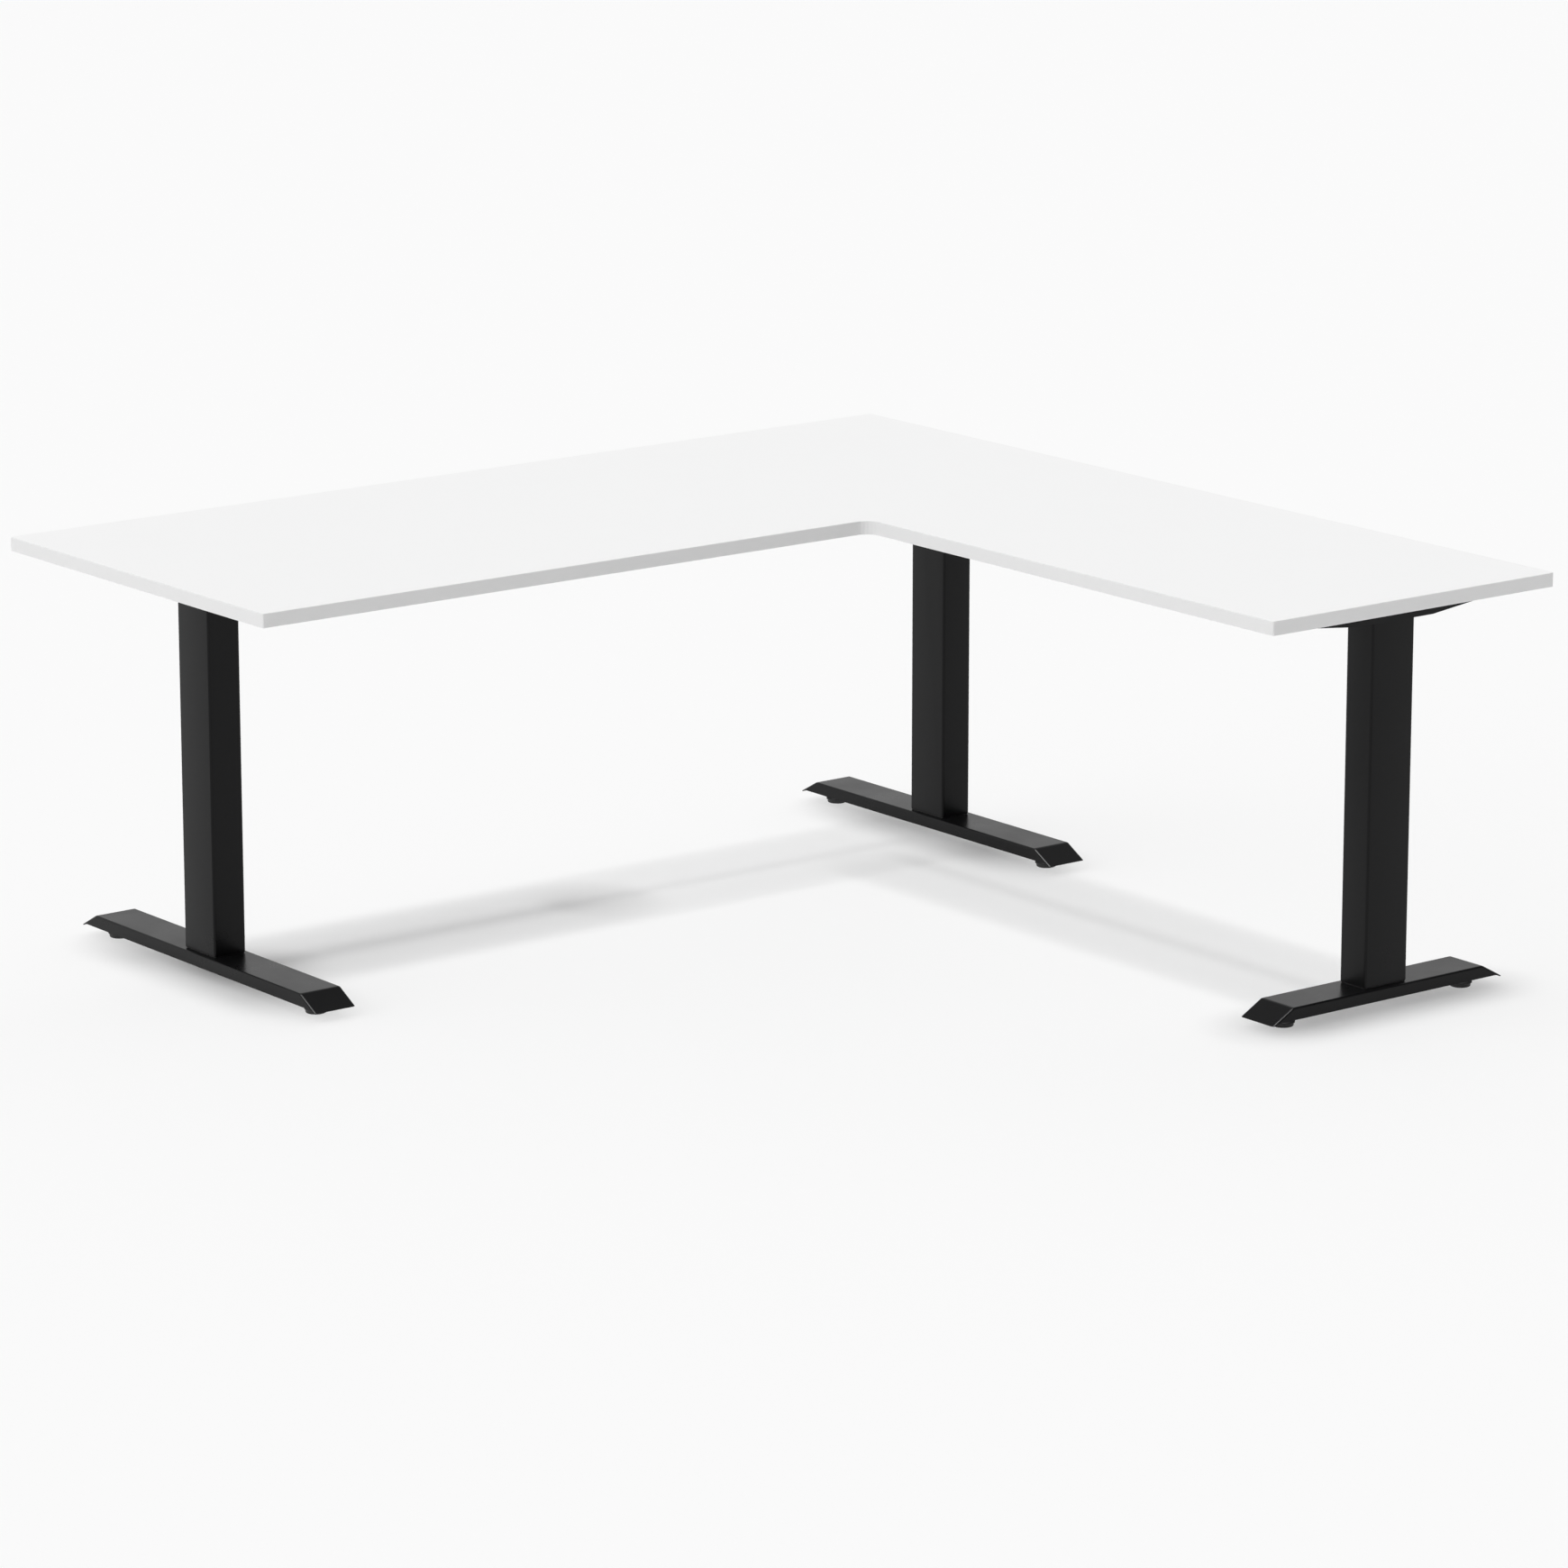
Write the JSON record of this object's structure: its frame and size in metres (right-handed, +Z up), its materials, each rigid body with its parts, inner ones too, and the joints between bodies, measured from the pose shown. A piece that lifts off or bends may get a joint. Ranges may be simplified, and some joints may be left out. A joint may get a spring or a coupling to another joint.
{
  "type": "height adjustable standing desk",
  "caption": "L-shaped electric standing desk: white worktop with a return, on black telescopic columns with flat steel feet, levelling glides, rails, motors and a handset.",
  "frame": {"origin": "on the floor, under the middle of the worktop's overall 1.8 x 1.75 m outline, with the desk at its lowest setting", "axes": "+X along the 1.8 m main worktop towards the return, +Y to the main worktop's back edge, +Z up; the user sits in the notch on the -X, -Y side"},
  "size_m": [1.8, 1.75, 0.6825],
  "materials": {
    "worktop_melamine": "white melamine facing with a fine satin texture",
    "edge_band_abs": "white ABS edging, satin",
    "black_powder_coat": "fine textured black powder coat",
    "zinc_steel": "bright zinc",
    "black_nylon": "moulded matt nylon",
    "motor_case": "dark grey painted die casting and can",
    "black_abs": "moulded black ABS, fine spark texture",
    "smoked_window": "smoked acrylic, polished",
    "grey_keys": "moulded grey key caps"
  },
  "bodies": {
    "base": {"foot_left": "black_powder_coat", "inner_tube_left": "black_powder_coat", "lower_nut_left": "black_nylon", "foot_corner": "black_powder_coat", "inner_tube_corner": "black_powder_coat", "lower_nut_corner": "black_nylon", "foot_right": "black_powder_coat", "inner_tube_right": "black_powder_coat", "lower_nut_right": "black_nylon"},
    "top": {"desktop": "worktop_melamine", "edge_band": "edge_band_abs", "outer_tube_left": "black_powder_coat", "outer_collar_left": "black_nylon", "gear_motor_left": "motor_case", "side_bracket_left": "black_powder_coat", "rail_tray_left": "black_powder_coat", "outer_tube_corner": "black_powder_coat", "outer_collar_corner": "black_nylon", "gear_motor_corner": "motor_case", "side_bracket_corner": "black_powder_coat", "rail_tray_corner": "black_powder_coat", "outer_tube_right": "black_powder_coat", "outer_collar_right": "black_nylon", "gear_motor_right": "motor_case", "side_bracket_right": "black_powder_coat", "rail_tray_right": "black_powder_coat", "main_rail_front": "black_powder_coat", "main_rail_rear": "black_powder_coat", "side_rail_inner": "black_powder_coat", "side_rail_outer": "black_powder_coat", "rail_joint": "black_powder_coat", "control_box": "black_abs", "handset_case": "black_abs", "handset_window": "smoked_window"},
    "middle_left": {"middle_tube_left": "black_powder_coat", "middle_collar_left": "black_nylon", "upper_nut_left": "black_nylon"},
    "drive_left": {"drive_screw_left": "zinc_steel"},
    "hollow_left": {"hollow_screw_left": "zinc_steel"},
    "middle_corner": {"middle_tube_corner": "black_powder_coat", "middle_collar_corner": "black_nylon", "upper_nut_corner": "black_nylon"},
    "drive_corner": {"drive_screw_corner": "zinc_steel"},
    "hollow_corner": {"hollow_screw_corner": "zinc_steel"},
    "middle_right": {"middle_tube_right": "black_powder_coat", "middle_collar_right": "black_nylon", "upper_nut_right": "black_nylon"},
    "drive_right": {"drive_screw_right": "zinc_steel"},
    "hollow_right": {"hollow_screw_right": "zinc_steel"},
    "glide_left_front": {"glide_left_front": "black_nylon"},
    "glide_left_rear": {"glide_left_rear": "black_nylon"},
    "glide_corner_front": {"glide_corner_front": "black_nylon"},
    "glide_corner_rear": {"glide_corner_rear": "black_nylon"},
    "glide_right_inner": {"glide_right_inner": "black_nylon"},
    "glide_right_outer": {"glide_right_outer": "black_nylon"},
    "memory_key_1": {"memory_key_1": "grey_keys"},
    "memory_key_2": {"memory_key_2": "grey_keys"},
    "memory_key_3": {"memory_key_3": "grey_keys"},
    "up_key": {"up_key": "grey_keys"},
    "down_key": {"down_key": "grey_keys"}
  },
  "joints": [
    {"name": "desk_lift", "type": "slide", "parent": "base", "child": "top", "axis": [0, 0, 1], "range_m": [0, 0.65]},
    {"name": "middle_lift_left", "type": "slide", "parent": "base", "child": "middle_left", "axis": [0, 0, 1], "range_m": [0, 0.325]},
    {"name": "drive_spin_left", "type": "hinge", "parent": "top", "child": "drive_left", "pos_m": [-0.76, 0.5, 0.34], "axis": [0, 0, 1], "range_deg": [0, 23400]},
    {"name": "hollow_spin_left", "type": "hinge", "parent": "middle_left", "child": "hollow_left", "pos_m": [-0.76, 0.5, 0.34], "axis": [0, 0, 1], "range_deg": [0, 23400]},
    {"name": "middle_lift_corner", "type": "slide", "parent": "base", "child": "middle_corner", "axis": [0, 0, 1], "range_m": [0, 0.325]},
    {"name": "drive_spin_corner", "type": "hinge", "parent": "top", "child": "drive_corner", "pos_m": [0.76, 0.5, 0.34], "axis": [0, 0, 1], "range_deg": [0, 23400]},
    {"name": "hollow_spin_corner", "type": "hinge", "parent": "middle_corner", "child": "hollow_corner", "pos_m": [0.76, 0.5, 0.34], "axis": [0, 0, 1], "range_deg": [0, 23400]},
    {"name": "middle_lift_right", "type": "slide", "parent": "base", "child": "middle_right", "axis": [0, 0, 1], "range_m": [0, 0.325]},
    {"name": "drive_spin_right", "type": "hinge", "parent": "top", "child": "drive_right", "pos_m": [0.6, -0.796, 0.34], "axis": [0, 0, 1], "range_deg": [0, 23400]},
    {"name": "hollow_spin_right", "type": "hinge", "parent": "middle_right", "child": "hollow_right", "pos_m": [0.6, -0.796, 0.34], "axis": [0, 0, 1], "range_deg": [0, 23400]},
    {"name": "glide_left_front_adjust", "type": "slide", "parent": "base", "child": "glide_left_front", "axis": [0, 0, -1], "range_m": [0, 0.012]},
    {"name": "glide_left_rear_adjust", "type": "slide", "parent": "base", "child": "glide_left_rear", "axis": [0, 0, -1], "range_m": [0, 0.012]},
    {"name": "glide_corner_front_adjust", "type": "slide", "parent": "base", "child": "glide_corner_front", "axis": [0, 0, -1], "range_m": [0, 0.012]},
    {"name": "glide_corner_rear_adjust", "type": "slide", "parent": "base", "child": "glide_corner_rear", "axis": [0, 0, -1], "range_m": [0, 0.012]},
    {"name": "glide_right_inner_adjust", "type": "slide", "parent": "base", "child": "glide_right_inner", "axis": [0, 0, -1], "range_m": [0, 0.012]},
    {"name": "glide_right_outer_adjust", "type": "slide", "parent": "base", "child": "glide_right_outer", "axis": [0, 0, -1], "range_m": [0, 0.012]},
    {"name": "memory_key_1_press", "type": "slide", "parent": "top", "child": "memory_key_1", "axis": [0, 1, 0], "range_m": [0, 0.001], "stiffness_N_per_m": 400, "springref_m": -0.003},
    {"name": "memory_key_2_press", "type": "slide", "parent": "top", "child": "memory_key_2", "axis": [0, 1, 0], "range_m": [0, 0.001], "stiffness_N_per_m": 400, "springref_m": -0.003},
    {"name": "memory_key_3_press", "type": "slide", "parent": "top", "child": "memory_key_3", "axis": [0, 1, 0], "range_m": [0, 0.001], "stiffness_N_per_m": 400, "springref_m": -0.003},
    {"name": "up_key_press", "type": "slide", "parent": "top", "child": "up_key", "axis": [0, 1, 0], "range_m": [0, 0.001], "stiffness_N_per_m": 400, "springref_m": -0.003},
    {"name": "down_key_press", "type": "slide", "parent": "top", "child": "down_key", "axis": [0, 1, 0], "range_m": [0, 0.001], "stiffness_N_per_m": 400, "springref_m": -0.003}
  ],
  "couplings": [
    {"joint": "middle_lift_left", "follows": "desk_lift", "ratio": 0.5},
    {"joint": "drive_spin_left", "follows": "desk_lift", "rad_per_m": 628.32},
    {"joint": "hollow_spin_left", "follows": "desk_lift", "rad_per_m": 628.32},
    {"joint": "middle_lift_corner", "follows": "desk_lift", "ratio": 0.5},
    {"joint": "drive_spin_corner", "follows": "desk_lift", "rad_per_m": 628.32},
    {"joint": "hollow_spin_corner", "follows": "desk_lift", "rad_per_m": 628.32},
    {"joint": "middle_lift_right", "follows": "desk_lift", "ratio": 0.5},
    {"joint": "drive_spin_right", "follows": "desk_lift", "rad_per_m": 628.32},
    {"joint": "hollow_spin_right", "follows": "desk_lift", "rad_per_m": 628.32}
  ]
}
